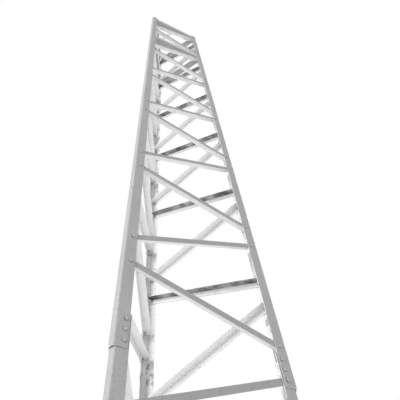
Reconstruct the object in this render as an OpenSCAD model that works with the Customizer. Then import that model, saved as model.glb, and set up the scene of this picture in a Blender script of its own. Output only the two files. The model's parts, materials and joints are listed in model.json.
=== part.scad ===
// Self-supporting three-legged radio tower, bolted from bent-plate legs and angle bracing.
// Origin: on the ground, on the tower's axis. +Z up, the front face looks along -Y.

/* [Overall] */
// Height of the leg tops above the ground
tower_h = 9000; // [7800:50:11000]
// Width of one face at the ground, between the sharp corners of the face planes
base_side = 1132; // [1000:2:1500]
// Width of one face at the leg tops, between the same corners
top_side = 806; // [700:2:1000]

/* [Bracing pattern] */
// Vertical pitch of the zigzag bracing in one face
panel_h = 1000; // [840:10:1050]
// Number of full panels of the zigzag
panels = 8; // [6:1:8]
// Space along a leg between the bolts of two braces that nearly meet there
bolt_gap = 200; // [160:5:240]
// Drop of the zigzag's first bolt below the leg tops
top_drop = 140; // [130:10:250]

/* [Legs] */
// Width of each leg flange, from the sharp bend line to its free edge
flange_w = 66; // [55:1:80]
// Width of the flat nose between the two flanges, between the sharp bend lines
nose_w = 31; // [26:1:38]
// Thickness of the leg plate
leg_t = 5; // [4:0.5:6]
// Outside radius of the two bends
bend_r = 12; // [10:1:14]
// Number of panels above the joint of the upper and lower legs
upper_panels = 6; // [4:1:6]
// Spacing of the joint's bolts along the leg
joint_pitch = 58; // [48:1:70]
// Distance of the joint's outer bolts from the ends of the lapped legs
joint_edge = 35; // [28:1:40]

/* [Angle braces] */
// Width of the angle's leg that lies flat on the tower's legs
brace_w = 40; // [35:1:50]
// Width of the angle's leg that points inward
brace_out = 56; // [45:1:60]
// Thickness of the angle
brace_t = 4; // [3:0.5:6]
// Length of the corner clipped off each end of the inward leg
brace_clip = 18; // [10:1:25]

/* [Top girts] */
// Width of both legs of the two level angles at the top of each face
girt_w = 80; // [60:2:90]
// Thickness of a girt
girt_t = 7; // [5:0.5:9]
// Height of a girt's underside above the zigzag bolt beside it
girt_rise = 32; // [29:1:36]
// Spacing of the two bolts at each end of a girt
girt_pitch = 40; // [34:1:46]
// Gap between the mitred corners of two girts that meet at a leg
girt_gap = 10; // [4:1:20]

/* [Feet] */
// Side of the square base plate
foot_w = 220; // [190:5:260]
// Thickness of the base plate
foot_t = 16; // [10:1:25]
// Spacing of the anchor holes along each side
anchor_pitch = 150; // [130:5:180]
// Diameter of the anchor holes
anchor_d = 22; // [16:1:26]

/* [Bolts] */
// Diameter of the bolt holes in legs, braces and girts
bolt_hole_d = 14; // [12:0.5:16]
// Distance of a brace's end beyond its bolt hole
end_past = 17; // [15:1:20]

/* [Hidden] */
$fn = 48;

// Taper of one face, and the lean of a face and of a leg from the vertical
taper = (base_side - top_side) / tower_h;
face_lean = atan(taper / (2 * sqrt(3)));
leg_lean = atan(taper / sqrt(3));
// Half of the angle between two face planes, measured square to the leg
half_corner = acos(pow(cos(face_lean), 2) / 2 - pow(sin(face_lean), 2)) / 2;

// Azimuths of the legs and of the faces' outward normals
LEFT = 210;
RIGHT = -30;
REAR = 90;
FRONT_FACE = 0;
RIGHT_FACE = 1;
LEFT_FACE = 2;

top_z = tower_h - top_drop;
gauge = nose_w + 0.58 * flange_w;
hug = 1;
reach = 3 * flange_w;
bend_steps = 5;
// Radii of a rolled angle's root and toes, as shares of its thickness
ROOT = 1.2;
TOE = 0.5;
// Rise of a brace from one leg to the next, so that braces and gaps fill one panel
brace_rise = (panel_h - 2 * bolt_gap) / 2;
// Shift of the lower leg along the corner's bisector that nests it inside the upper one
nest = leg_t / sin(half_corner);
joint_top = top_z - upper_panels * panel_h + 2 * joint_pitch + joint_edge;
joint_bottom = top_z - upper_panels * panel_h - joint_edge;

function side_at(z) = base_side - taper * z;
// Height of a level that lies t panels below the zigzag's first bolt
function level(t) = top_z - t * panel_h;
// Distance from a face's middle to the bolt line on a leg, at the height z
function bolt_x(z) = side_at(z) / 2 - gauge - (z < joint_top ? nest * cos(half_corner) : 0);
// A point in a face's plane for a height above the ground
function on_slope(z) = z / cos(face_lean);
// Heights of a rising brace's bolts: it climbs from the left leg to the right leg
function rising_z(k) = [level(k) - brace_rise, level(k)];
// Heights of a falling brace's bolts: it drops from the left leg to the right leg
function falling_z(k) = [level(k) - brace_rise - bolt_gap, level(k) - 2 * brace_rise - bolt_gap];
// Depth of the surface that a brace at the height z is bolted to
function seat(z) = z < joint_top ? 2 * leg_t : leg_t;

// Puts its children in a face's own plane: x along the face, y inward, z up the slope
module in_face(face)
    rotate([0, 0, 120 * face])
        translate([0, -base_side / (2 * sqrt(3)), 0])
            rotate([-face_lean, 0, 0]) children();

// Puts its children in a leg's own frame: x outward, z up along the corner of the faces
module in_leg(azimuth)
    rotate([0, 0, azimuth])
        translate([base_side / sqrt(3), 0, 0])
            rotate([0, -leg_lean, 0]) children();

// A point on the leg's flange: u along it from the sharp corner, d below its outer surface
function flange_point(u, d, s) = [
    -u * cos(half_corner) - d * sin(half_corner),
    s * (u * sin(half_corner) - d * cos(half_corner))
];

// Points of a bend at depth d, from the flange round to the nose on the side s
function bend_points(d, s) =
    let (cx = -(nose_w * cos(half_corner) + bend_r))
    let (cy = (-cx * sin(half_corner) - bend_r) / cos(half_corner))
    [for (i = [0 : bend_steps])
        let (a = (90 - half_corner) * (1 - i / bend_steps))
        [cx + (bend_r - d) * cos(a), s * (cy + (bend_r - d) * sin(a))]];

// The filled shape inside the leg's surface at depth d, out to the length u along the flanges
module leg_shape(d, u, deep)
    polygon(concat(
        [flange_point(u, deep, 1), flange_point(u, d, 1)],
        bend_points(d, 1),
        [for (i = [bend_steps : -1 : 0]) bend_points(d, -1)[i]],
        [flange_point(u, d, -1), flange_point(u, deep, -1)]
    ));

// The leg's section: two flanges and the nose
module bent_section()
    difference() {
        leg_shape(0, nose_w + flange_w, leg_t + hug);
        leg_shape(leg_t, reach, leg_t);
    }

// A length of leg between two heights, moved inward along the corner's bisector
module bent_plate(azimuth, inward, z0, z1)
    in_leg(azimuth)
        translate([-inward, 0, z0 / cos(leg_lean)])
            linear_extrude(height = (z1 - z0) / cos(leg_lean)) bent_section();

// Bolt holes that a face's braces, girts and leg joints need in the legs
module face_holes(face)
    in_face(face)
        for (e = [0, 1]) {
            for (k = [0 : panels]) bolt_hole(e, rising_z(k)[e]);
            for (k = [0 : panels - 1]) bolt_hole(e, falling_z(k)[e]);
            for (k = [0, 1], j = [-1, 1]) bolt_hole(e, girt_z(k) + j * girt_pitch / 2);
            for (j = [0 : 2]) bolt_hole(e, level(upper_panels) + j * joint_pitch);
        }

// A hole through a leg at its bolt line: e = 0 on the left leg, 1 on the right one
module bolt_hole(e, z)
    translate([(2 * e - 1) * bolt_x(z), -leg_t, on_slope(z)])
        rotate([-90, 0, 0]) cylinder(d = bolt_hole_d, h = 5 * leg_t);

module leg_upper(azimuth, faces)
    color("silver")
        difference() {
            bent_plate(azimuth, 0, joint_bottom, tower_h);
            for (face = faces) face_holes(face);
        }

// The lower leg nests inside the upper one where they lap, and stands on its base plate
module leg_lower(azimuth, faces)
    color("silver")
        difference() {
            bent_plate(azimuth, nest, -foot_t, joint_top);
            translate([0, 0, foot_t - 200])
                cube([4 * base_side, 4 * base_side, 400], center = true);
            for (face = faces) face_holes(face);
        }

// Square base plate under a leg, one corner outward, with its four anchor holes
module foot(azimuth)
    color("darkgray")
        rotate([0, 0, azimuth])
            translate([base_side / sqrt(3) - nose_w - flange_w / 2, 0, 0])
                rotate([0, 0, 45])
                    difference() {
                        translate([-foot_w / 2, -foot_w / 2, 0]) cube([foot_w, foot_w, foot_t]);
                        for (sx = [-1, 1], sy = [-1, 1])
                            translate([sx * anchor_pitch / 2, sy * anchor_pitch / 2, -1])
                                cylinder(d = anchor_d, h = foot_t + 2);
                    }

// Points of an arc about [x, y] from the angle a to the angle b
function arc_points(x, y, r, a, b) = [
    for (i = [0 : bend_steps])
        let (t = a + (b - a) * i / bend_steps) [x + r * cos(t), y + r * sin(t)]
];

// A rolled angle along +X: the leg a stands upright at y = 0, the leg b points along +Y at its top
module angle_bar(a, b, t, x0, x1)
    translate([x0, 0, 0])
        rotate([90, 0, 90])
            linear_extrude(height = x1 - x0)
                polygon(concat(
                    [[0, a / 2], [0, -a / 2]],
                    arc_points(t - TOE * t, TOE * t - a / 2, TOE * t, -90, 0),
                    arc_points(t + ROOT * t, a / 2 - t - ROOT * t, ROOT * t, 180, 90),
                    arc_points(b - TOE * t, a / 2 - t + TOE * t, TOE * t, -90, 0),
                    [[b, a / 2]]
                ));

// A brace from its bolt hole at 0 to the one at the given length, its inward leg's corners clipped
module drilled_angle(length)
    difference() {
        angle_bar(brace_w, brace_out, brace_t, -end_past, length + end_past);
        for (d = [0, length])
            translate([d, -1, 0])
                rotate([-90, 0, 0]) cylinder(d = bolt_hole_d, h = brace_t + 2);
        for (d = [-end_past, length + end_past])
            translate([d, brace_out, brace_w / 2])
                rotate([0, 0, 45])
                    cube([brace_clip * sqrt(2), brace_clip * sqrt(2), 3 * brace_t], center = true);
    }

// An angle brace between the bolt lines of a face's two legs, z = [left end, right end]
module angle_brace(z) {
    x = [-bolt_x(z[0]), bolt_x(z[1])];
    rise = on_slope(z[1]) - on_slope(z[0]);
    translate([x[0], seat(z[0]), on_slope(z[0])])
        rotate([0, -atan2(rise, x[1] - x[0]), 0])
            drilled_angle(sqrt(pow(x[1] - x[0], 2) + rise * rise));
}

// The zigzag of one face from one panel to another; below the last panel only a rising brace
module bracing(face, first, last)
    color("lightgray")
        in_face(face)
            for (k = [first : last]) {
                if (k <= panels) angle_brace(rising_z(k));
                if (k < panels) angle_brace(falling_z(k));
            }

// Height of the middle of a girt's upright leg
function girt_z(k) = level(k) + girt_rise + girt_w / 2;

// A level angle across one face: its lower leg points inward, mitred where two girts meet
module girt(face, k) {
    z = on_slope(girt_z(k));
    half = bolt_x(girt_z(k)) + end_past;
    color("lightgray")
        difference() {
            in_face(face)
                translate([0, leg_t, z])
                    rotate([0, 180, 0]) angle_bar(girt_w, girt_w, girt_t, -half, half);
            in_face(face)
                for (e = [0, 1]) {
                    for (j = [-1, 1]) bolt_hole(e, girt_z(k) + j * girt_pitch / 2);
                    mirror([1 - e, 0, 0])
                        translate([side_at(girt_z(k)) / 2 - girt_gap, 0, z - girt_w])
                            rotate([0, 0, 150])
                                translate([0, -2 * half, 0])
                                    cube([2 * half, 2 * half, 2 * girt_w]);
                }
            if (k == 0 && face != RIGHT_FACE) plan_hole(face);
        }
}

// Underside of the level brace that crosses one corner on top of two girts
plan_z = (on_slope(girt_z(0)) - girt_w / 2 + girt_t) * cos(face_lean)
    - girt_w / 3 * sin(face_lean);
// Distance of its two bolts from the tower's axis
plan_r = side_at(plan_z) / (2 * sqrt(3)) - leg_t - 0.6 * girt_w;

module plan_hole(face)
    rotate([0, 0, 120 * face])
        translate([0, -plan_r, plan_z - girt_w / 2]) cylinder(d = bolt_hole_d, h = girt_w);

// The level brace between the middles of the front and left top girts
module plan_brace()
    color("lightgray")
        translate([0, -plan_r, plan_z])
            rotate([0, 0, 120])
                rotate([90, 0, 0]) drilled_angle(plan_r * sqrt(3));

module left_leg_upper() leg_upper(LEFT, [FRONT_FACE, LEFT_FACE]);
module right_leg_upper() leg_upper(RIGHT, [FRONT_FACE, RIGHT_FACE]);
module rear_leg_upper() leg_upper(REAR, [RIGHT_FACE, LEFT_FACE]);
module left_leg_lower() leg_lower(LEFT, [FRONT_FACE, LEFT_FACE]);
module right_leg_lower() leg_lower(RIGHT, [FRONT_FACE, RIGHT_FACE]);
module rear_leg_lower() leg_lower(REAR, [RIGHT_FACE, LEFT_FACE]);

left_leg_upper();
left_leg_lower();
right_leg_upper();
right_leg_lower();
rear_leg_upper();
rear_leg_lower();
foot(LEFT);  // left_foot
foot(RIGHT);  // right_foot
foot(REAR);  // rear_foot
girt(FRONT_FACE, 0);  // front_top_girt
girt(FRONT_FACE, 1);  // front_second_girt
girt(RIGHT_FACE, 0);  // right_top_girt
girt(RIGHT_FACE, 1);  // right_second_girt
girt(LEFT_FACE, 0);  // left_top_girt
girt(LEFT_FACE, 1);  // left_second_girt
plan_brace();
bracing(FRONT_FACE, 0, 2);  // front_bracing_high
bracing(FRONT_FACE, 3, 5);  // front_bracing_mid
bracing(FRONT_FACE, 6, panels);  // front_bracing_low
bracing(RIGHT_FACE, 0, 2);  // right_bracing_high
bracing(RIGHT_FACE, 3, 5);  // right_bracing_mid
bracing(RIGHT_FACE, 6, panels);  // right_bracing_low
bracing(LEFT_FACE, 0, 2);  // left_bracing_high
bracing(LEFT_FACE, 3, 5);  // left_bracing_mid
bracing(LEFT_FACE, 6, panels);  // left_bracing_low
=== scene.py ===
"""Looks of a self-supporting three-legged radio tower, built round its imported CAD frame.

The steelwork comes from the frame. This script dresses it in hot-dip galvanised finishes and adds
what is too small for the frame: the bolts of every joint, the anchor bolts of the three feet and
the welds between the legs and their base plates.
"""

import json
import logging
import math
from dataclasses import dataclass
from enum import Enum
from typing import Iterator, Sequence

import bpy
from mathutils import Euler, Matrix, Vector

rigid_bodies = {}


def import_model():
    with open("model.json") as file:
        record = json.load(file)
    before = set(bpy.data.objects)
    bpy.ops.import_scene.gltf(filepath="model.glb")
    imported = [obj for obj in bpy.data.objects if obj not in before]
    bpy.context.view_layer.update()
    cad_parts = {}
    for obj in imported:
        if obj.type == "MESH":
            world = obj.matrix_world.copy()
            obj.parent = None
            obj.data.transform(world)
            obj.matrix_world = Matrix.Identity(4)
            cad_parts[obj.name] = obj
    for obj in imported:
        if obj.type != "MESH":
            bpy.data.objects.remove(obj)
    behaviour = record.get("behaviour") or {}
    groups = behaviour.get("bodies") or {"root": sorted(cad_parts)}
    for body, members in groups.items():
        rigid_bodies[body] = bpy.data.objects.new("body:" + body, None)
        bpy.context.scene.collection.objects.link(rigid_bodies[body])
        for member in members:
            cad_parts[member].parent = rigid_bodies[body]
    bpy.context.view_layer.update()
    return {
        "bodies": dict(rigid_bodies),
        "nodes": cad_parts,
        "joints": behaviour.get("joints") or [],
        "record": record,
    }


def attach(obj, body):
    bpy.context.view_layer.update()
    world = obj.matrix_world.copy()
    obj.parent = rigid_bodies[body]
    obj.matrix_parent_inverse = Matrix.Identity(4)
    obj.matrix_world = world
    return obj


LOG = logging.getLogger("radio_tower")
BODY = "root"

Colour = tuple[float, float, float, float]
Material = bpy.types.Material
Node = bpy.types.Node
Piece = bpy.types.Object
Socket = bpy.types.NodeSocket
Tree = bpy.types.NodeTree

ROOT_3 = math.sqrt(3)
THIRD_TURN = 120


class Slot(Enum):
    """The record's material slots."""

    LEG_PLATE = "leg_plate"
    BASE_PLATE = "base_plate"
    GIRT = "girt"
    BRACING = "bracing"


class Face(Enum):
    """The tower's three faces, each with its number of thirds of a turn from the front."""

    FRONT = 0
    RIGHT = 1
    LEFT = 2


class Side(Enum):
    """The two legs that bound a face, seen from outside."""

    LEFT = -1
    RIGHT = 1


class Leg(Enum):
    """The tower's three legs, each with its direction from the tower's axis in degrees."""

    LEFT = 210.0
    RIGHT = -30.0
    REAR = 90.0


# ---- Helpers for node trees ----

FLOAT, VECTOR = "NodeSocketFloat", "NodeSocketVector"
GEOMETRY, MATERIAL = "NodeSocketGeometry", "NodeSocketMaterial"
SHADER_TREE, GEOMETRY_TREE = "ShaderNodeTree", "GeometryNodeTree"

# The sockets of a Mix node that mixes colours.
MIX_SHARE, MIX_FIRST, MIX_SECOND, MIX_RESULT = 0, 6, 7, 2


def turned(degrees: float) -> Matrix:
    """Gives a turn about the tower's axis."""
    return Matrix.Rotation(math.radians(degrees), 4, "Z")


def grey(value: float) -> Colour:
    """Gives an opaque grey of one linear value."""
    return (value, value, value, 1.0)


def tinted(red: float, green: float, blue: float) -> Colour:
    """Gives an opaque colour from three linear values."""
    return (red, green, blue, 1.0)


class TreeMaker:
    """Adds nodes to a node tree and links them.

    Args:
        tree: the shader or geometry tree to fill.
    """

    def __init__(self, tree: Tree) -> None:
        """Keeps the tree."""
        self.tree = tree

    def add(self, kind: str, links: dict | None = None, **settings: object) -> Node:
        """Adds one node.

        Args:
            kind: the node's type name.
            links: input name or number to a socket to link, or to a plain value.
            **settings: attributes of the node, such as its operation.

        Returns:
            The new node.
        """
        node = self.tree.nodes.new(kind)
        for name, value in settings.items():
            setattr(node, name, value)
        for name, value in (links or {}).items():
            socket = node.inputs[name]
            if isinstance(value, bpy.types.NodeSocket):
                self.tree.links.new(value, socket)
            else:
                socket.default_value = value
        return node

    def math(self, operation: str, *values: object) -> Socket:
        """Adds a Math node on the values and returns its result."""
        node = self.add("ShaderNodeMath", dict(enumerate(values)), operation=operation)
        return node.outputs["Value"]

    def vector_math(self, operation: str, *values: object) -> Socket:
        """Adds a Vector Math node on the values and returns its vector."""
        node = self.add("ShaderNodeVectorMath", dict(enumerate(values)), operation=operation)
        return node.outputs["Vector"]

    def dot(self, first: object, second: object) -> Socket:
        """Adds the dot product of two vectors and returns its value."""
        node = self.add("ShaderNodeVectorMath", {0: first, 1: second}, operation="DOT_PRODUCT")
        return node.outputs["Value"]

    def z_of(self, vector: Socket) -> Socket:
        """Takes the Z of a vector."""
        return self.add("ShaderNodeSeparateXYZ", {0: vector}).outputs["Z"]

    def noise(self, vector: Socket, scale: float, detail: float, roughness: float = 0.5) -> Node:
        """Adds a Noise Texture on a vector."""
        return self.add("ShaderNodeTexNoise", {
            "Vector": vector, "Scale": scale, "Detail": detail, "Roughness": roughness})

    def ramp(self, value: object, start: object, end: object, low: object = 0.0,
             high: object = 1.0, smooth: bool = False) -> Socket:
        """Maps a value from between two limits to between two others.

        Args:
            value: the value to map.
            start: the limit that gives low.
            end: the limit that gives high.
            low: the result at and before the start.
            high: the result at and past the end.
            smooth: whether the ramp eases in and out.

        Returns:
            The mapped value.
        """
        node = self.add("ShaderNodeMapRange", {
            "Value": value, "From Min": start, "From Max": end, "To Min": low, "To Max": high},
            interpolation_type="SMOOTHSTEP" if smooth else "LINEAR")
        return node.outputs["Result"]

    def mix(self, share: object, first: object, second: object) -> Socket:
        """Mixes two colours by the share of the second one."""
        sockets = {MIX_SHARE: share, MIX_FIRST: first, MIX_SECOND: second}
        return self.add("ShaderNodeMix", sockets, data_type="RGBA").outputs[MIX_RESULT]

    def link(self, source: Socket, target: Socket) -> None:
        """Links one socket to another."""
        self.tree.links.new(source, target)

    def close(self, results: dict[str, Socket]) -> Tree:
        """Ends a group.

        Args:
            results: output name to the socket that gives it.

        Returns:
            The finished group.
        """
        end = self.add("NodeGroupOutput")
        for name, socket in results.items():
            self.link(socket, end.inputs[name])
        return self.tree


def new_group(kind: str, name: str, inputs: dict[str, float | str],
              outputs: dict[str, str]) -> Tree:
    """Makes a node group with named sockets.

    Args:
        kind: the type of its tree.
        name: the group's name.
        inputs: name of each input to its default number, or to its socket type.
        outputs: name of each output to its socket type.

    Returns:
        The empty group.
    """
    group = bpy.data.node_groups.new(name, kind)
    for label, value in inputs.items():
        if isinstance(value, str):
            group.interface.new_socket(label, in_out="INPUT", socket_type=value)
        else:
            socket = group.interface.new_socket(label, in_out="INPUT", socket_type=FLOAT)
            socket.default_value = value
    for label, socket_type in outputs.items():
        group.interface.new_socket(label, in_out="OUTPUT", socket_type=socket_type)
    return group


# ---- The plan that places every bolt ----


@dataclass(frozen=True)
class Joint:
    """One bolted joint: a point on the steel's outer surface, and what the bolt clamps."""

    place: Vector
    outward: Vector
    grip: float


@dataclass(frozen=True)
class TowerPlan:
    """The driving sizes of the steelwork, in metres, its counts and its shares."""

    height: float = 9.0
    base_side: float = 1.132
    top_side: float = 0.806
    panel: float = 1.0
    panels: int = 8
    bolt_gap: float = 0.2
    top_drop: float = 0.14
    flange: float = 0.066
    nose: float = 0.031
    plate: float = 0.005
    bend: float = 0.012
    bend_steps: int = 5
    upper_panels: int = 6
    joint_bolts: int = 3
    joint_pitch: float = 0.058
    joint_edge: float = 0.035
    brace_plate: float = 0.004
    girts: int = 2
    girt_width: float = 0.08
    girt_plate: float = 0.007
    girt_rise: float = 0.032
    girt_pitch: float = 0.04
    foot_plate: float = 0.016
    anchor_pitch: float = 0.15
    gauge_share: float = 0.58
    plan_bolt_share: float = 0.6

    @property
    def taper(self) -> float:
        """Loss of face width per metre of height."""
        return (self.base_side - self.top_side) / self.height

    @property
    def face_lean(self) -> float:
        """Lean of a face from the vertical."""
        return math.atan(self.taper / (2 * ROOT_3))

    @property
    def leg_lean(self) -> float:
        """Lean of a leg from the vertical."""
        return math.atan(self.taper / ROOT_3)

    @property
    def half_corner(self) -> float:
        """Half of the angle between two faces, measured square to the leg."""
        lean = self.face_lean
        return math.acos(math.cos(lean) ** 2 / 2 - math.sin(lean) ** 2) / 2

    @property
    def nest(self) -> float:
        """Inward shift of a lower leg that nests it in the upper one."""
        return self.plate / math.sin(self.half_corner)

    @property
    def joint_base(self) -> float:
        """Height of the lowest bolts of the leg joints."""
        return self.level(self.upper_panels)

    @property
    def joint_top(self) -> float:
        """Height of the lower legs' upper ends."""
        return self.joint_base + (self.joint_bolts - 1) * self.joint_pitch + self.joint_edge

    @property
    def rise(self) -> float:
        """Rise of a brace from one leg to the next."""
        return (self.panel - 2 * self.bolt_gap) / 2

    def level(self, count: float) -> float:
        """Height that lies a number of panels below the zigzag's first bolt."""
        return self.height - self.top_drop - count * self.panel

    def girt_z(self, k: int) -> float:
        """Height of the middle of a girt's upright leg."""
        return self.level(k) + self.girt_rise + self.girt_width / 2

    def bolt_x(self, z: float) -> float:
        """Distance from a face's middle to a leg's bolt line.

        Args:
            z: the height.

        Returns:
            The distance along the face.
        """
        line = self.nose + self.gauge_share * self.flange
        if z < self.joint_top:
            line += self.nest * math.cos(self.half_corner)
        return (self.base_side - self.taper * z) / 2 - line

    @staticmethod
    def face_turn(face: Face) -> Matrix:
        """Turns the front face onto another one."""
        return turned(THIRD_TURN * face.value)

    def face_matrix(self, face: Face) -> Matrix:
        """Places a face's own plane: x along it, y inward, z up the slope."""
        out = Matrix.Translation((0, -self.base_side / (2 * ROOT_3), 0))
        return self.face_turn(face) @ out @ Matrix.Rotation(-self.face_lean, 4, "X")

    def leg_matrix(self, leg: Leg) -> Matrix:
        """Places a leg's own frame: x outward, z up along the faces' corner."""
        out = Matrix.Translation((self.base_side / ROOT_3, 0, 0))
        return turned(leg.value) @ out @ Matrix.Rotation(-self.leg_lean, 4, "Y")

    def rising(self, k: int) -> dict[Side, float]:
        """Bolt heights of the brace that climbs to the right leg."""
        return {Side.LEFT: self.level(k) - self.rise, Side.RIGHT: self.level(k)}

    def falling(self, k: int) -> dict[Side, float]:
        """Bolt heights of the brace that drops to the right leg."""
        start = self.level(k) - self.rise - self.bolt_gap
        return {Side.LEFT: start, Side.RIGHT: start - self.rise}

    def joints(self, face: Face) -> Iterator[Joint]:
        """Lists the bolted joints of one face.

        Args:
            face: the face.

        Yields:
            Each joint, with its place on the outer surface of the leg.
        """
        for side in Side:
            for k in range(self.panels + 1):
                yield self._joint(face, side, self.rising(k)[side], self.brace_plate)
                if k < self.panels:
                    yield self._joint(face, side, self.falling(k)[side], self.brace_plate)
            for k in range(self.girts):
                for step in (-0.5, 0.5):
                    z = self.girt_z(k) + step * self.girt_pitch
                    yield self._joint(face, side, z, self.girt_plate)
            for j in range(self.joint_bolts):
                if j > 0 or side is Side.LEFT:
                    yield self._joint(face, side, self.joint_base + j * self.joint_pitch, 0.0)
        if face is not Face.RIGHT:
            yield self._plan_joint(face)

    def _plan_joint(self, face: Face) -> Joint:
        """Makes the joint of the level corner brace, under the middle of a top girt.

        Args:
            face: the face of the girt.

        Returns:
            The joint, whose bolt points down.
        """
        lean = self.face_lean
        lower = self.girt_z(0) / math.cos(lean) - self.girt_width / 2
        z = lower * math.cos(lean) - self.girt_width / 3 * math.sin(lean)
        side = self.base_side - self.taper * z
        radius = side / (2 * ROOT_3) - self.plate - self.plan_bolt_share * self.girt_width
        return Joint(self.face_turn(face) @ Vector((0, -radius, z)), Vector((0, 0, -1)),
                     self.girt_plate + self.brace_plate)

    def _joint(self, face: Face, side: Side, z: float, member: float) -> Joint:
        """Makes one joint between a leg and what is bolted to it.

        Args:
            face: the face that the joint is in.
            side: which of the face's legs.
            z: the joint's height.
            member: thickness of the bolted member, 0 where only the leg plates meet.

        Returns:
            The joint.
        """
        lap_bottom = self.joint_base - self.joint_edge
        lapped = lap_bottom < z < self.joint_top
        depth = self.plate if z < lap_bottom else 0.0
        frame = self.face_matrix(face)
        local = Vector((side.value * self.bolt_x(z), depth, z / math.cos(self.face_lean)))
        outward = frame.to_3x3() @ Vector((0, -1, 0))
        grip = self.plate * (2 if lapped else 1) + member
        return Joint(frame @ local, outward, grip)

    def leg_outline(self, depth: float) -> list[tuple[float, float]]:
        """Points of the leg's section at a depth below its outer surface, in the leg's frame.

        Args:
            depth: how far below the outer surface.

        Returns:
            Points from the free edge of one flange round the nose to the other free edge.
        """
        half = self.half_corner
        reach = self.nose + self.flange
        centre_x = -(self.nose * math.cos(half) + self.bend)
        centre_y = (-centre_x * math.sin(half) - self.bend) / math.cos(half)
        radius = self.bend - depth
        upper = [(-reach * math.cos(half) - depth * math.sin(half),
                  reach * math.sin(half) - depth * math.cos(half))]
        for i in range(self.bend_steps + 1):
            angle = (math.pi / 2 - half) * (1 - i / self.bend_steps)
            upper.append((centre_x + radius * math.cos(angle), centre_y + radius * math.sin(angle)))
        return upper + [(x, -y) for x, y in reversed(upper)]


# ---- Finishes ----


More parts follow.
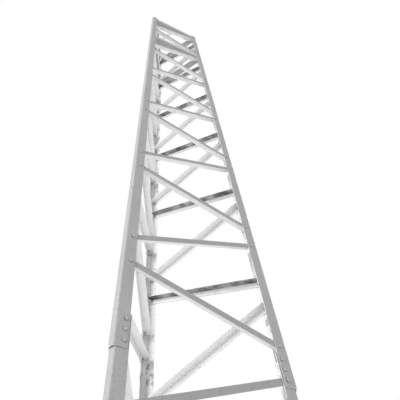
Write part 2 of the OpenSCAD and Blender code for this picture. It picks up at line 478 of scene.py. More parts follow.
@dataclass
class ZincGroups:
    """The shader groups that the galvanised finishes share, with the sizes they have in common."""

    warp_reach: float = 0.012
    grain_share: float = 0.5
    run_scale: tuple[float, float, float] = (55.0, 55.0, 1.6)
    patch_edge: tuple[float, float] = (0.56, 0.70)
    # Painted shade: undersides turned towards this azimuth are darkened in blotches.
    shaded_azimuth: float = 120.0
    shaded_edge: tuple[float, float] = (0.22, 0.32)
    underside_z: float = -0.6
    shade_noise_edge: tuple[float, float] = (0.30, 0.62)
    least_shade: float = 0.42
    stain_edge: tuple[float, float] = (0.555, 0.60)

    def __post_init__(self) -> None:
        """Builds the four groups."""
        self.spangle = self._spangle()
        self.weather = self._weather()
        self.painted_facing = self._painted_facing()
        self.shade_and_stains = self._shade_and_stains()

    def _spangle(self) -> Tree:
        """Builds the zinc crystals: a tone for each crystal and the fine grain inside it.

        Returns:
            The group.
        """
        make = TreeMaker(new_group(SHADER_TREE, "zinc_spangle", {
            "Vector": VECTOR, "Crystals per metre": 70.0, "Contrast": 0.1},
            {"Tone": FLOAT, "Relief": FLOAT}))
        start = make.add("NodeGroupInput").outputs
        warp = make.noise(start["Vector"], scale=45.0, detail=2.0)
        lean = make.vector_math("MULTIPLY", warp.outputs["Color"], (self.warp_reach,) * 3)
        moved = make.vector_math("ADD", start["Vector"], lean)
        cells = make.add("ShaderNodeTexVoronoi", {
            "Vector": moved, "Scale": start["Crystals per metre"], "Randomness": 1.0})
        tone = make.add("ShaderNodeSeparateColor", {0: cells.outputs["Color"]})
        spread = make.math("MULTIPLY_ADD", tone.outputs["Red"], start["Contrast"],
                           make.math("MULTIPLY", start["Contrast"], -0.5))
        grain = make.noise(start["Vector"], scale=900.0, detail=3.0)
        relief = make.math("MULTIPLY_ADD", grain.outputs["Fac"], self.grain_share, spread)
        return make.close({"Tone": spread, "Relief": relief})

    def _weather(self) -> Tree:
        """Builds the weathering: broad clouds, runs down the steel and dull white-rust patches.

        Returns:
            The group.
        """
        make = TreeMaker(new_group(SHADER_TREE, "zinc_weather", {
            "Vector": VECTOR, "Clouds": 0.1, "Runs": 0.1, "Patches": 0.3},
            {"Tone": FLOAT, "Patch": FLOAT}))
        start = make.add("NodeGroupInput").outputs
        squeeze = make.add("ShaderNodeMapping", {"Vector": start["Vector"],
                                                 "Scale": self.run_scale})
        clouds = make.noise(start["Vector"], scale=3.2, detail=5.0, roughness=0.6)
        runs = make.noise(squeeze.outputs["Vector"], scale=1.0, detail=3.0, roughness=0.55)
        tones = [make.math("MULTIPLY", make.math("SUBTRACT", noise.outputs["Fac"], 0.5), amount)
                 for noise, amount in ((clouds, start["Clouds"]), (runs, start["Runs"]))]
        patches = make.noise(start["Vector"], scale=16.0, detail=6.0, roughness=0.7)
        patch = make.ramp(patches.outputs["Fac"], *self.patch_edge, high=start["Patches"])
        return make.close({"Tone": make.math("ADD", *tones), "Patch": patch})

    def _painted_facing(self) -> Tree:
        """Builds the mask of what faces inward or down, which the finishes paint lighter as painted
        light, or darker as painted shade on the girts.

        Returns:
            The group.
        """
        make = TreeMaker(new_group(SHADER_TREE, "zinc_painted_facing", {
            "Vector": VECTOR, "Normal": VECTOR, "Share of slope": 0.8, "Softness": 0.2},
            {"Mask": FLOAT}))
        start = make.add("NodeGroupInput").outputs
        flat = make.vector_math("MULTIPLY", start["Vector"], (1.0, 1.0, 0.0))
        facing = make.dot(start["Normal"], make.vector_math("NORMALIZE", flat))
        outward_and_up = make.math("MULTIPLY_ADD", make.z_of(start["Normal"]),
                                 start["Share of slope"], facing)
        softness = start["Softness"]
        mask = make.ramp(outward_and_up, softness, make.math("MULTIPLY", softness, -1.0),
                         smooth=True)
        return make.close({"Mask": mask})

    def _shade_and_stains(self) -> Tree:
        """Builds the masks of the painted shade, in blotches, on undersides that face one azimuth,
        and of dark stains.

        Returns:
            The group.
        """
        make = TreeMaker(new_group(SHADER_TREE, "painted_shade_and_stains", {
            "Vector": VECTOR, "Normal": VECTOR, "Amount": 0.95},
            {"Mask": FLOAT, "Stains": FLOAT}))
        start = make.add("NodeGroupInput").outputs
        shaded = math.radians(self.shaded_azimuth)
        toward = make.dot(start["Normal"], (math.cos(shaded), math.sin(shaded), 0.0))
        side = make.ramp(toward, *self.shaded_edge, smooth=True)
        below = make.math("LESS_THAN", make.z_of(start["Normal"]), self.underside_z)
        blotches = make.noise(start["Vector"], scale=9.0, detail=6.0, roughness=0.65)
        cover = make.ramp(blotches.outputs["Fac"], *self.shade_noise_edge, low=self.least_shade)
        mask = make.math("MULTIPLY", make.math("MULTIPLY", side, below),
                         make.math("MULTIPLY", cover, start["Amount"]))
        stains = make.ramp(blotches.outputs["Fac"], *self.stain_edge)
        return make.close({"Mask": mask, "Stains": stains})


@dataclass(frozen=True)
class ZincFinish:
    """A hot-dip galvanised finish, with a second zinc for what faces inward or down: painted light,
    or painted shade on the girts.
    """

    name: str
    colour: Colour
    facing_painted_tone: Colour
    dull: Colour
    metallic: float
    roughness: float
    crystals: float
    contrast: float
    clouds: float
    runs: float
    patches: float
    relief: float
    # Painted shade: ambient occlusion darkens the corners.
    corner_shade: float = 0.7
    stains: float = 0.0
    # The near-black of the painted shade and of the real stains.
    shade_and_stain_colour: Colour = tinted(0.035, 0.035, 0.033)
    corner_reach: float = 0.010
    corner_edge: tuple[float, float] = (0.45, 0.85)
    corner_samples: int = 8
    tone_gloss: float = -0.6
    patch_roughness: float = 0.3
    relief_height: float = 0.0006

    def build(self, groups: ZincGroups) -> Material:
        """Makes the material.

        Args:
            groups: the shared shader groups.

        Returns:
            The finished material.
        """
        material = bpy.data.materials.new(self.name)
        material.use_nodes = True
        material.node_tree.nodes.clear()
        make = TreeMaker(material.node_tree)
        place = make.add("ShaderNodeTexCoord").outputs["Object"]
        normal = make.add("ShaderNodeNewGeometry").outputs["True Normal"]
        spangle = make.add("ShaderNodeGroup", {
            "Vector": place, "Crystals per metre": self.crystals, "Contrast": self.contrast},
            node_tree=groups.spangle).outputs
        weather = make.add("ShaderNodeGroup", {
            "Vector": place, "Clouds": self.clouds, "Runs": self.runs, "Patches": self.patches},
            node_tree=groups.weather).outputs
        painted_facing = make.add("ShaderNodeGroup", {"Vector": place, "Normal": normal},
                           node_tree=groups.painted_facing).outputs["Mask"]
        shade_and_stains = make.add("ShaderNodeGroup", {"Vector": place, "Normal": normal},
                         node_tree=groups.shade_and_stains).outputs
        tone = make.math("ADD", spangle["Tone"], weather["Tone"])
        # Painted light: what faces inward or down takes the lighter second zinc; on the girts it is
        # darker, painted shade.
        zinc = make.mix(painted_facing, self.colour, self.facing_painted_tone)
        toned = make.add("ShaderNodeHueSaturation", {
            "Color": zinc, "Value": make.math("ADD", tone, 1.0)})
        coat = make.mix(weather["Patch"], toned.outputs["Color"], self.dull)
        stains = make.math("MULTIPLY", make.math("MULTIPLY", shade_and_stains["Stains"], painted_facing),
                           self.stains)
        # Painted shade in corners and on undersides towards one azimuth, joined with the real
        # stains.
        shade_and_stain_mask = make.math("MAXIMUM", make.math("MAXIMUM", self._corner_shade(make), shade_and_stains["Mask"]),
                         stains)
        rough = make.math("MULTIPLY_ADD", weather["Patch"], self.patch_roughness, make.math(
            "ADD", make.math("MULTIPLY", tone, self.tone_gloss), self.roughness))
        bump = make.add("ShaderNodeBump", {
            "Strength": self.relief, "Distance": self.relief_height,
            "Height": spangle["Relief"]})
        shader = make.add("ShaderNodeBsdfPrincipled", {
            "Base Color": make.mix(shade_and_stain_mask, coat, self.shade_and_stain_colour), "Roughness": rough,
            "Metallic": self.metallic, "Normal": bump.outputs["Normal"]})
        output = make.add("ShaderNodeOutputMaterial")
        make.link(shader.outputs["BSDF"], output.inputs["Surface"])
        return material

    def _corner_shade(self, make: TreeMaker) -> Socket:
        """Adds the mask of the painted shade in corners, from ambient occlusion.

        Args:
            make: fills the material's tree.

        Returns:
            The mask.
        """
        corner = make.add("ShaderNodeAmbientOcclusion", {"Distance": self.corner_reach},
                          samples=self.corner_samples)
        open_air = make.ramp(corner.outputs["AO"], *self.corner_edge)
        return make.math("MULTIPLY", make.math("SUBTRACT", 1.0, open_air), self.corner_shade)


class Finish(Enum):
    """The finishes of the steel and its fasteners."""

    # Each second colour is painted: lighter on what faces inward or down as painted light, darker
    # on the girts as painted shade.
    LEG = ZincFinish(
        name="leg_zinc", colour=tinted(0.38, 0.383, 0.386), facing_painted_tone=tinted(0.74, 0.744, 0.748),
        dull=tinted(0.45, 0.45, 0.44), metallic=0.12, roughness=0.58, crystals=75.0, contrast=0.09,
        clouds=0.16, runs=0.14, patches=0.7, relief=0.2, stains=0.5)
    BRACE = ZincFinish(
        name="brace_zinc", colour=tinted(0.34, 0.343, 0.346), facing_painted_tone=tinted(0.69, 0.694, 0.698),
        dull=tinted(0.44, 0.44, 0.43), metallic=0.15, roughness=0.55, crystals=95.0, contrast=0.06,
        clouds=0.14, runs=0.10, patches=0.4, relief=0.12)
    GIRT = ZincFinish(
        name="girt_zinc", colour=tinted(0.50, 0.503, 0.506), facing_painted_tone=tinted(0.29, 0.293, 0.296),
        dull=tinted(0.54, 0.54, 0.53), metallic=0.15, roughness=0.55, crystals=80.0, contrast=0.12,
        clouds=0.18, runs=0.12, patches=0.35, relief=0.35)
    FOOT = ZincFinish(
        name="foot_zinc", colour=tinted(0.37, 0.37, 0.36), facing_painted_tone=tinted(0.37, 0.37, 0.36),
        dull=tinted(0.33, 0.30, 0.27), metallic=0.1, roughness=0.7, crystals=60.0, contrast=0.08,
        clouds=0.25, runs=0.0, patches=0.6, relief=0.5)
    BOLT = ZincFinish(
        name="bolt_zinc", colour=tinted(0.42, 0.423, 0.426), facing_painted_tone=tinted(0.46, 0.464, 0.468),
        dull=tinted(0.37, 0.35, 0.33), metallic=0.2, roughness=0.5, crystals=240.0, contrast=0.08,
        clouds=0.12, runs=0.0, patches=0.25, relief=0.25)
    WELD = ZincFinish(
        name="weld_zinc", colour=tinted(0.42, 0.424, 0.428), facing_painted_tone=tinted(0.46, 0.464, 0.468),
        dull=tinted(0.50, 0.49, 0.48), metallic=0.15, roughness=0.5, crystals=200.0, contrast=0.10,
        clouds=0.15, runs=0.0, patches=0.4, relief=0.5)


NODE_FINISH: dict[Slot, Finish] = {
    Slot.LEG_PLATE: Finish.LEG,
    Slot.BASE_PLATE: Finish.FOOT,
    Slot.GIRT: Finish.GIRT,
    Slot.BRACING: Finish.BRACE,
}


class FinishShop:
    """Builds each finish once and hands it out."""

    def __init__(self) -> None:
        """Builds the shared groups."""
        self.groups = ZincGroups()
        self.made: dict[Finish, Material] = {}

    def get(self, finish: Finish) -> Material:
        """Hands out a finish, made on its first use.

        Args:
            finish: which finish.

        Returns:
            Its material.
        """
        if finish not in self.made:
            self.made[finish] = finish.value.build(self.groups)
        return self.made[finish]


# ---- Pieces made by Geometry Nodes ----

HEX_SIDES = 6
HEX_TURN = 60
# Corner radius of a hexagon that is 1 wide across its flats.
HEX_CORNER = 1 / ROOT_3


def mesh_object(name: str, points: Sequence, edges: Sequence = (),
                faces: Sequence = ()) -> Piece:
    """Makes a mesh object at the origin from plain lists.

    Args:
        name: the object's name.
        points: its points.
        edges: its edges, as pairs of point numbers.
        faces: its faces, as tuples of point numbers.

    Returns:
        The object, linked to the scene.
    """
    mesh = bpy.data.meshes.new(name)
    mesh.from_pydata([tuple(p) for p in points], list(edges), list(faces))
    piece = bpy.data.objects.new(name, mesh)
    bpy.context.scene.collection.objects.link(piece)
    return piece


def grow(seed: Piece, tree: Tree, material: Material) -> Piece:
    """Runs a geometry tree on a seed mesh and keeps the result as a plain mesh.

    Args:
        seed: the object whose points or edges the tree grows on.
        tree: the geometry tree, which has an input named Material.
        material: the material for what grows.

    Returns:
        The same object, with the grown mesh and no modifier.
    """
    modifier = seed.modifiers.new("grow", "NODES")
    modifier.node_group = tree
    sockets = {item.name: item.identifier for item in tree.interface.items_tree
               if item.item_type == "SOCKET" and item.in_out == "INPUT"}
    modifier[sockets["Material"]] = material
    depsgraph = bpy.context.evaluated_depsgraph_get()
    depsgraph.update()
    grown = bpy.data.meshes.new_from_object(seed.evaluated_get(depsgraph))
    grown.name = seed.name
    seed.modifiers.remove(modifier)
    seed.data = grown
    return seed


def add_attribute(piece: Piece, name: str, kind: str, values: Sequence) -> None:
    """Stores one value for each point of a seed mesh.

    Args:
        piece: the seed.
        name: the attribute's name.
        kind: FLOAT or FLOAT_VECTOR.
        values: one value a point.
    """
    layer = piece.data.attributes.new(name, kind, "POINT")
    field = "vector" if kind == "FLOAT_VECTOR" else "value"
    for item, value in zip(layer.data, values):
        setattr(item, field, value)


class FastenerNodes(TreeMaker):
    """Shared shapes of bolts in a geometry tree: prisms, discs and rods along +Z."""

    rim_height: float = 0.49
    thread_sides: int = 16

    def cylinder(self, sides: int, rings: int, radius: object, depth: object) -> Socket:
        """Makes a closed cylinder about the origin, cut into rings along its depth."""
        return self.add("GeometryNodeMeshCylinder", {
            "Vertices": sides, "Side Segments": rings, "Radius": radius,
            "Depth": depth}).outputs["Mesh"]

    def shifted(self, shape: Socket, offset: Socket, **where: Socket) -> Socket:
        """Moves the points of a shape by an offset that depends on their place."""
        inputs = {"Geometry": shape, "Offset": offset, **where}
        return self.add("GeometryNodeSetPosition", inputs).outputs["Geometry"]

    def lifted(self, shape: Socket, depth: object, bottom: object) -> Socket:
        """Moves a shape that is centred on the origin up to stand on a height.

        Args:
            shape: the shape.
            depth: its height.
            bottom: height of its lower end.

        Returns:
            The moved shape.
        """
        lift = self.add("ShaderNodeCombineXYZ", {
            "Z": self.math("MULTIPLY_ADD", depth, 0.5, bottom)})
        moved = self.add("GeometryNodeTransform", {
            "Geometry": shape, "Translation": lift.outputs["Vector"]})
        return moved.outputs["Geometry"]

    def prism(self, sides: int, radius: object, depth: object, bottom: object,
              chamfer: float = 0.0, rings: int = 4) -> Socket:
        """Makes a closed prism or disc that stands on a height, its upper rim drawn in.

        Args:
            sides: number of sides.
            radius: outer radius.
            depth: height of the prism.
            bottom: height of its lower end.
            chamfer: share of the radius by which the upper rim is drawn in.
            rings: segments along the depth.

        Returns:
            The prism.
        """
        place = self.add("GeometryNodeInputPosition").outputs["Position"]
        rim = self.add("FunctionNodeCompare", {
            0: self.z_of(place), 1: self.math("MULTIPLY", depth, self.rim_height)},
            data_type="FLOAT", operation="GREATER_THAN")
        inward = self.vector_math("MULTIPLY", place, (-chamfer, -chamfer, 0.0))
        drawn = self.shifted(self.cylinder(sides, rings, radius, depth), inward,
                             Selection=rim.outputs["Result"])
        return self.lifted(drawn, depth, bottom)

    def thread(self, radius: object, depth: object, bottom: object, turns: int,
               cut: float) -> Socket:
        """Makes a threaded rod: a cylinder whose rings stand in and out by turns.

        Args:
            radius: outer radius.
            depth: length of the rod.
            bottom: height of its lower end.
            turns: number of turns of its thread.
            cut: share of the radius by which the thread is cut.

        Returns:
            The rod.
        """
        rings = 2 * turns
        place = self.add("GeometryNodeInputPosition").outputs["Position"]
        ring = self.math("ROUND", self.math("DIVIDE", self.z_of(place),
                                            self.math("DIVIDE", depth, rings)))
        odd = self.math("MULTIPLY", self.math("PINGPONG", ring, 1.0), -cut)
        inward = self.add("ShaderNodeCombineXYZ", {"X": odd, "Y": odd}).outputs["Vector"]
        cut_rod = self.shifted(self.cylinder(self.thread_sides, rings, radius, depth),
                               self.vector_math("MULTIPLY", place, inward))
        return self.lifted(cut_rod, depth, bottom)

    def joined(self, *parts: Socket) -> Socket:
        """Joins several geometries.

        Args:
            *parts: the geometries.

        Returns:
            All of them as one.
        """
        node = self.add("GeometryNodeJoinGeometry")
        for part in parts:
            self.link(part, node.inputs[0])
        return node.outputs[0]

    def attribute(self, name: str, kind: str) -> Socket:
        """Reads a named attribute of the seed's points."""
        node = self.add("GeometryNodeInputNamedAttribute", {"Name": name}, data_type=kind)
        return node.outputs[0]

    def scatter(self, seed: Socket, part: Socket, shift: object) -> Socket:
        """Puts a part on each seed point, its +Z along the point's aim, turned by its turn.

        Args:
            seed: the seed points.
            part: the part to place.
            shift: distance along the aim, a value or a field on the points.

        Returns:
            The instances.
        """
        aim = self.attribute("aim", "FLOAT_VECTOR")
        spin = self.add("ShaderNodeCombineXYZ", {"Z": self.attribute("turn", "FLOAT")})
        face = self.add("FunctionNodeAlignRotationToVector", {"Vector": aim}, axis="Z")
        own = self.add("FunctionNodeEulerToRotation", {0: spin.outputs[0]})
        both = self.add("FunctionNodeRotateRotation", {0: face.outputs[0], 1: own.outputs[0]},
                        rotation_space="LOCAL")
        away = self.add("ShaderNodeVectorMath", {0: aim, "Scale": shift}, operation="SCALE")
        placed = self.add("GeometryNodeInstanceOnPoints", {
            "Points": self.shifted(seed, away.outputs[0]), "Instance": part,
            "Rotation": both.outputs[0]})
        return placed.outputs[0]

    def dressed(self, geometry: Socket, material: Socket) -> Tree:
        """Realizes the instances, sets their material and ends the tree.

        Args:
            geometry: what the tree has made.
            material: the tree's material input.

        Returns:
            The finished tree.
        """
        real = self.add("GeometryNodeRealizeInstances", {0: geometry})
        painted = self.add("GeometryNodeSetMaterial", {"Geometry": real.outputs[0],
                                                       "Material": material})
        return self.close({"Geometry": painted.outputs[0]})


def grower(name: str, sizes: dict[str, float]) -> FastenerNodes:
    """Starts a geometry tree with a named input for each of its sizes.

    Args:
        name: the tree's name.
        sizes: input name to its value.

    Returns:
        The maker that fills the tree.
    """
    inputs = {"Geometry": GEOMETRY, **sizes, "Material": MATERIAL}
    return FastenerNodes(new_group(GEOMETRY_TREE, name, inputs, {"Geometry": GEOMETRY}))


@dataclass(frozen=True)
class BoltSet:
    """Hexagon bolts with a washer and a nut, one through each joint of the steelwork."""

    plan: TowerPlan
    across_flats: float = 0.018
    head: float = 0.0075
    bearing: float = 0.0006
    bearing_share: float = 0.47
    nut: float = 0.010
    chamfer: float = 0.08
    washer_radius: float = 0.012
    washer: float = 0.0025
    washer_chamfer: float = 0.04
    disc_sides: int = 20
    shank_radius: float = 0.006
    longest_grip: float = 0.014
    thread_out: float = 0.006
    thread_turns: int = 14
    thread_cut: float = 0.07
    turn_step: int = 37
    face_turn_step: int = 11

    def tree(self) -> Tree:
        """Builds the geometry tree that puts a bolt, a washer and a nut on each point.

        Returns:
            The tree.
        """
        make = grower("joint_bolt", {
            "Across flats": self.across_flats, "Head height": self.head, "Nut height": self.nut,
            "Washer radius": self.washer_radius, "Washer thickness": self.washer,
            "Shank radius": self.shank_radius, "Thread past nut": self.thread_out,
            "Longest grip": self.longest_grip})
        start = make.add("NodeGroupInput").outputs
        corner = make.math("MULTIPLY", start["Across flats"], HEX_CORNER)
        bearing = make.math("MULTIPLY", start["Across flats"], self.bearing_share)
        washer, nut = start["Washer thickness"], start["Nut height"]
        head = make.joined(
            make.prism(self.disc_sides, bearing, self.bearing, 0.0, rings=1),
            make.prism(HEX_SIDES, corner, start["Head height"], self.bearing, self.chamfer))
        reach = make.math("ADD", make.math("MULTIPLY", washer, 2.0), start["Longest grip"])
        rod = make.math("ADD", make.math("ADD", nut, start["Thread past nut"]), reach)
        back = make.joined(
            make.prism(self.disc_sides, start["Washer radius"], washer, 0.0,
                       self.washer_chamfer, rings=1),
            make.prism(HEX_SIDES, corner, nut, washer, self.chamfer),
            make.thread(start["Shank radius"], rod, make.math("MULTIPLY", reach, -0.5),
                        self.thread_turns, self.thread_cut))
        flipped = make.add("GeometryNodeTransform", {"Geometry": back,
                                                     "Rotation": Euler((math.pi, 0, 0))})
        inner = make.math("MULTIPLY", make.attribute("grip", "FLOAT"), -1.0)
        both = make.joined(make.scatter(start["Geometry"], head, 0.0),
                           make.scatter(start["Geometry"], flipped.outputs[0], inner))
        return make.dressed(both, start["Material"])

    def build(self, shop: FinishShop) -> list[Piece]:
        """Makes one mesh of bolts for each face.

        Args:
            shop: hands out the finishes.

        Returns:
            The three bolt meshes.
        """
        tree = self.tree()
        made = []
        for face in Face:
            joints = list(self.plan.joints(face))
            seed = mesh_object(f"{face.name.lower()}_face_bolts", [j.place for j in joints])
            add_attribute(seed, "aim", "FLOAT_VECTOR", [j.outward for j in joints])
            add_attribute(seed, "grip", "FLOAT", [j.grip for j in joints])
            first = self.face_turn_step * face.value
            turns = [math.radians((self.turn_step * i + first) % HEX_TURN)
                     for i in range(len(joints))]
            add_attribute(seed, "turn", "FLOAT", turns)
            made.append(grow(seed, tree, shop.get(Finish.BOLT)))
        return made


@dataclass(frozen=True)
class AnchorSet:
    """The anchor bolts that hold the three base plates: a threaded rod, washer and two nuts."""

    plan: TowerPlan
    across_flats: float = 0.030
    nut: float = 0.016
    lock_nut_share: float = 0.6
    chamfer: float = 0.07
    washer_radius: float = 0.0185
    washer: float = 0.003
    washer_chamfer: float = 0.04
    disc_sides: int = 24
    rod_radius: float = 0.010
    rod_length: float = 0.066
    thread_turns: int = 24
    thread_cut: float = 0.06
    turn_step: int = 23

    def tree(self) -> Tree:
        """Builds the geometry tree that puts an anchor's end and its nuts on each point.

        Returns:
            The tree.
        """
        make = grower("anchor_bolt", {
            "Across flats": self.across_flats, "Nut height": self.nut,
            "Washer radius": self.washer_radius, "Washer thickness": self.washer,
            "Rod radius": self.rod_radius, "Rod length": self.rod_length,
            "Plate thickness": self.plan.foot_plate})
        start = make.add("NodeGroupInput").outputs
        corner = make.math("MULTIPLY", start["Across flats"], HEX_CORNER)
        washer, nut = start["Washer thickness"], start["Nut height"]
        lock_nut = make.math("MULTIPLY", nut, self.lock_nut_share)
        anchor = make.joined(
            make.prism(self.disc_sides, start["Washer radius"], washer, 0.0,
                       self.washer_chamfer, rings=1),
            make.prism(HEX_SIDES, corner, nut, washer, self.chamfer),
            make.prism(HEX_SIDES, corner, lock_nut, make.math("ADD", washer, nut), self.chamfer),
            make.thread(start["Rod radius"], start["Rod length"],
                        make.math("MULTIPLY", start["Plate thickness"], -1.0),
                        self.thread_turns, self.thread_cut))
        return make.dressed(make.scatter(start["Geometry"], anchor, 0.0), start["Material"])

    def build(self, shop: FinishShop) -> Piece:
        """Makes the anchors of the three feet as one mesh.

        Args:
            shop: hands out the finishes.

        Returns:
            The mesh of anchors.
        """
        plan = self.plan
        radius = plan.base_side / ROOT_3 - plan.nose - plan.flange / 2
        spread = plan.anchor_pitch / math.sqrt(2)
        places = []
        for leg in Leg:
            for quarter in range(4):
                angle = math.radians(90 * quarter)
                places.append(turned(leg.value) @ Vector((
                    radius + spread * math.cos(angle), spread * math.sin(angle),
                    plan.foot_plate)))
        seed = mesh_object("anchor_bolts", places)
        add_attribute(seed, "aim", "FLOAT_VECTOR", [(0.0, 0.0, 1.0)] * len(places))
        turns = [math.radians(self.turn_step * i % HEX_TURN) for i in range(len(places))]
        add_attribute(seed, "turn", "FLOAT", turns)
        return grow(seed, self.tree(), shop.get(Finish.BOLT))


@dataclass(frozen=True)
class FootWelds:
    """The fillet welds that join the lower legs to their base plates."""

    plan: TowerPlan
    radius: float = 0.0045
    ripple: float = 0.0006
    ripples_per_metre: float = 210.0
    step: float = 0.0012
    sides: int = 10
    lift: float = 0.001

    def tree(self) -> Tree:
        """Builds the geometry tree that sweeps a rippled bead along the seed's edges.

        Returns:
            The tree.
        """
        make = grower("weld_bead", {
            "Bead radius": self.radius, "Ripple height": self.ripple,
            "Ripples per metre": self.ripples_per_metre})
        start = make.add("NodeGroupInput").outputs
        path = make.add("GeometryNodeMeshToCurve", {"Mesh": start["Geometry"]})
        fine = make.add("GeometryNodeResampleCurve", {
            "Curve": path.outputs[0], "Length": self.step}, mode="LENGTH")
        along = make.add("GeometryNodeSplineParameter").outputs["Length"]
        turns = make.math("MULTIPLY", along, start["Ripples per metre"])
        wave = make.math("SINE", make.math("MULTIPLY", turns, 2 * math.pi))
        size = make.math("MULTIPLY_ADD", wave, start["Ripple height"], start["Bead radius"])
        ring = make.add("GeometryNodeCurvePrimitiveCircle", {"Resolution": self.sides,
                                                             "Radius": 1.0})
        bead = make.add("GeometryNodeCurveToMesh", {
            "Curve": fine.outputs[0], "Profile Curve": ring.outputs[0],
            "Fill Caps": True, "Scale": size})
        return make.dressed(bead.outputs[0], start["Material"])

    def build(self, shop: FinishShop) -> Piece:
        """Makes the beads round the three legs as one mesh.

        Args:
            shop: hands out the finishes.

        Returns:
            The mesh of beads.
        """
        plan = self.plan
        points, edges = [], []
        inward = Matrix.Translation((-plan.nest, 0, 0))
        for leg in Leg:
            frame = plan.leg_matrix(leg) @ inward
            axis = frame.to_3x3() @ Vector((0, 0, 1))
            for depth in (0.0, plan.plate):
                loop = [frame @ Vector((x, y, 0)) for x, y in plan.leg_outline(depth)]
                loop = [p + axis * ((plan.foot_plate + self.lift - p.z) / axis.z) for p in loop]
                first = len(points)
                points += loop
                edges += [(first + i, first + i + 1) for i in range(len(loop) - 1)]
        return grow(mesh_object("foot_welds", points, edges), self.tree(),
                    shop.get(Finish.WELD))


# ---- Studio ----


@dataclass(frozen=True)
class AreaLamp:
    """One soft lamp, aimed at a point on the tower's axis."""

    name: str
    azimuth: float
    elevation: float
    distance: float
    size: float
    power: float
    target_z: float = 5.0

    def build(self) -> None:
        """Makes the lamp."""
        light = bpy.data.lights.new(self.name, "AREA")
        light.shape = "DISK"
        light.size = self.size
        light.energy = self.power
        lamp = bpy.data.objects.new(self.name, light)
        turn = math.radians(self.azimuth)
        rise = math.radians(self.elevation)
        away = Vector((math.cos(turn) * math.cos(rise), math.sin(turn) * math.cos(rise),
                       math.sin(rise)))
        lamp.location = Vector((0, 0, self.target_z)) + away * self.distance
        lamp.rotation_euler = (-away).to_track_quat("-Z", "Y").to_euler()
        bpy.context.scene.collection.objects.link(lamp)


@dataclass(frozen=True)
class Studio:
    """Plain pale floor, soft light and a white background."""

    world_strength: float = 0.25
    floor_size: float = 60.0
    floor_glow: float = 1.35
    floor_shown_glow: float = 0.52
    floor_tones: tuple[float, float] = (0.24, 0.26)
    floor_mottle: float = 0.6
    floor_roughness: float = 0.9
    lamps: tuple[AreaLamp, ...] = (
        AreaLamp("side_softbox", azimuth=196.0, elevation=15.0, distance=16.0, size=12.0,
                 power=2200.0),
        AreaLamp("back_softbox", azimuth=30.0, elevation=55.0, distance=16.0, size=7.0,
                 power=2600.0),
    )

    def build(self) -> None:
        """Makes the world, the floor and the lamps."""
        self._world()
        self._floor()
        for lamp in self.lamps:
            lamp.build()

    def _world(self) -> None:
        """Makes a world that is white to the camera and plain soft light to the tower."""
        world = bpy.data.worlds.new("studio_world")
        world.use_nodes = True
        bpy.context.scene.world = world
        world.node_tree.nodes.clear()
        make = TreeMaker(world.node_tree)
        seen = make.add("ShaderNodeLightPath").outputs
        shown = make.math("MAXIMUM", seen["Is Camera Ray"], make.math(
            "MAXIMUM", seen["Is Glossy Ray"], seen["Is Transmission Ray"]))
        light, white = [make.add("ShaderNodeBackground", {
            "Color": grey(1.0), "Strength": strength}).outputs[0]
            for strength in (self.world_strength, 1.0)]
        mix = make.add("ShaderNodeMixShader", {0: shown, 1: light, 2: white})
        output = make.add("ShaderNodeOutputWorld")
        make.link(mix.outputs[0], output.inputs["Surface"])

    def _floor(self) -> None:
        """Makes the floor: matt and pale to the camera, an even glow from below to the tower."""
        half = self.floor_size / 2
        floor = mesh_object("studio_floor", [(-half, -half, 0), (half, -half, 0),
                                             (half, half, 0), (-half, half, 0)],
                            faces=[(0, 1, 2, 3)])
        material = bpy.data.materials.new("studio_floor_paint")
        material.use_nodes = True
        make = TreeMaker(material.node_tree)
        shader = material.node_tree.nodes["Principled BSDF"]
        noise = make.add("ShaderNodeTexNoise", {"Scale": self.floor_mottle, "Detail": 2.0})
        tone = make.ramp(noise.outputs["Fac"], 0.0, 1.0, *self.floor_tones)
        seen = make.add("ShaderNodeLightPath").outputs["Is Camera Ray"]
        paint = make.math("MULTIPLY", tone, seen)
        colour = make.add("ShaderNodeCombineColor", dict.fromkeys(range(3), paint))
        make.link(colour.outputs[0], shader.inputs["Base Color"])
        shader.inputs["Roughness"].default_value = self.floor_roughness
        glow = make.ramp(seen, 0.0, 1.0, self.floor_glow, self.floor_shown_glow)
        shader.inputs["Emission Color"].default_value = grey(1.0)
        make.link(glow, shader.inputs["Emission Strength"])
        floor.data.materials.append(material)


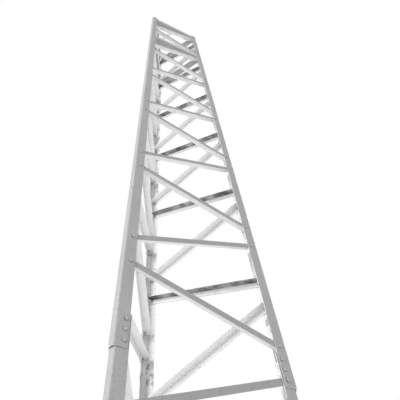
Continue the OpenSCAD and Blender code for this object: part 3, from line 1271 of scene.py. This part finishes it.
@dataclass(frozen=True)
class Viewpoint:
    """The camera, close to the left leg and looking up the tower."""

    location: tuple[float, float, float] = (-0.9667, -1.8745, 1.6517)
    rotation_deg: tuple[float, float, float] = (145.401, 3.52, -26.76)
    lens: float = 39.096
    sensor: float = 36.0
    shift: tuple[float, float] = (0.0135, -0.0356)
    clip_end: float = 200.0

    def build(self) -> None:
        """Makes the camera and gives it to the scene."""
        data = bpy.data.cameras.new("view")
        data.lens = self.lens
        data.sensor_width = self.sensor
        data.shift_x, data.shift_y = self.shift
        data.clip_end = self.clip_end
        camera = bpy.data.objects.new("view", data)
        camera.location = self.location
        camera.rotation_euler = Euler([math.radians(a) for a in self.rotation_deg])
        bpy.context.scene.collection.objects.link(camera)
        bpy.context.scene.camera = camera


# ---- The whole tower ----


def dress_frame(frame: dict, shop: FinishShop) -> None:
    """Gives each CAD node the finish of its material slot.

    Args:
        frame: the loaded frame.
        shop: hands out the finishes.
    """
    slots = {part["node"]: part["material_slot"] for part in frame["record"]["subparts"]}
    for name, piece in frame["nodes"].items():
        finish = NODE_FINISH[Slot(slots[name])]
        piece.data.materials.clear()
        piece.data.materials.append(shop.get(finish))
        LOG.info("%s: %s", name, finish.value.name)


def carry(piece: Piece, slot: Slot) -> None:
    """Makes a finished piece ride on the tower and logs its number of faces.

    Args:
        piece: the piece.
        slot: not used.
    """
    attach(piece, BODY)
    LOG.info("%s: %d faces", piece.name, len(piece.data.polygons))


def main() -> None:
    """Builds the tower's looks and its studio in order."""
    logging.basicConfig(level=logging.INFO, format="%(name)s: %(message)s")
    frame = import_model()
    bpy.context.scene.view_settings.view_transform = "Standard"
    plan = TowerPlan()
    shop = FinishShop()
    Viewpoint().build()
    dress_frame(frame, shop)
    for bolts in BoltSet(plan).build(shop):
        carry(bolts, Slot.LEG_PLATE)
    carry(AnchorSet(plan).build(shop), Slot.BASE_PLATE)
    carry(FootWelds(plan).build(shop), Slot.BASE_PLATE)
    Studio().build()


if __name__ == "__main__":
    main()
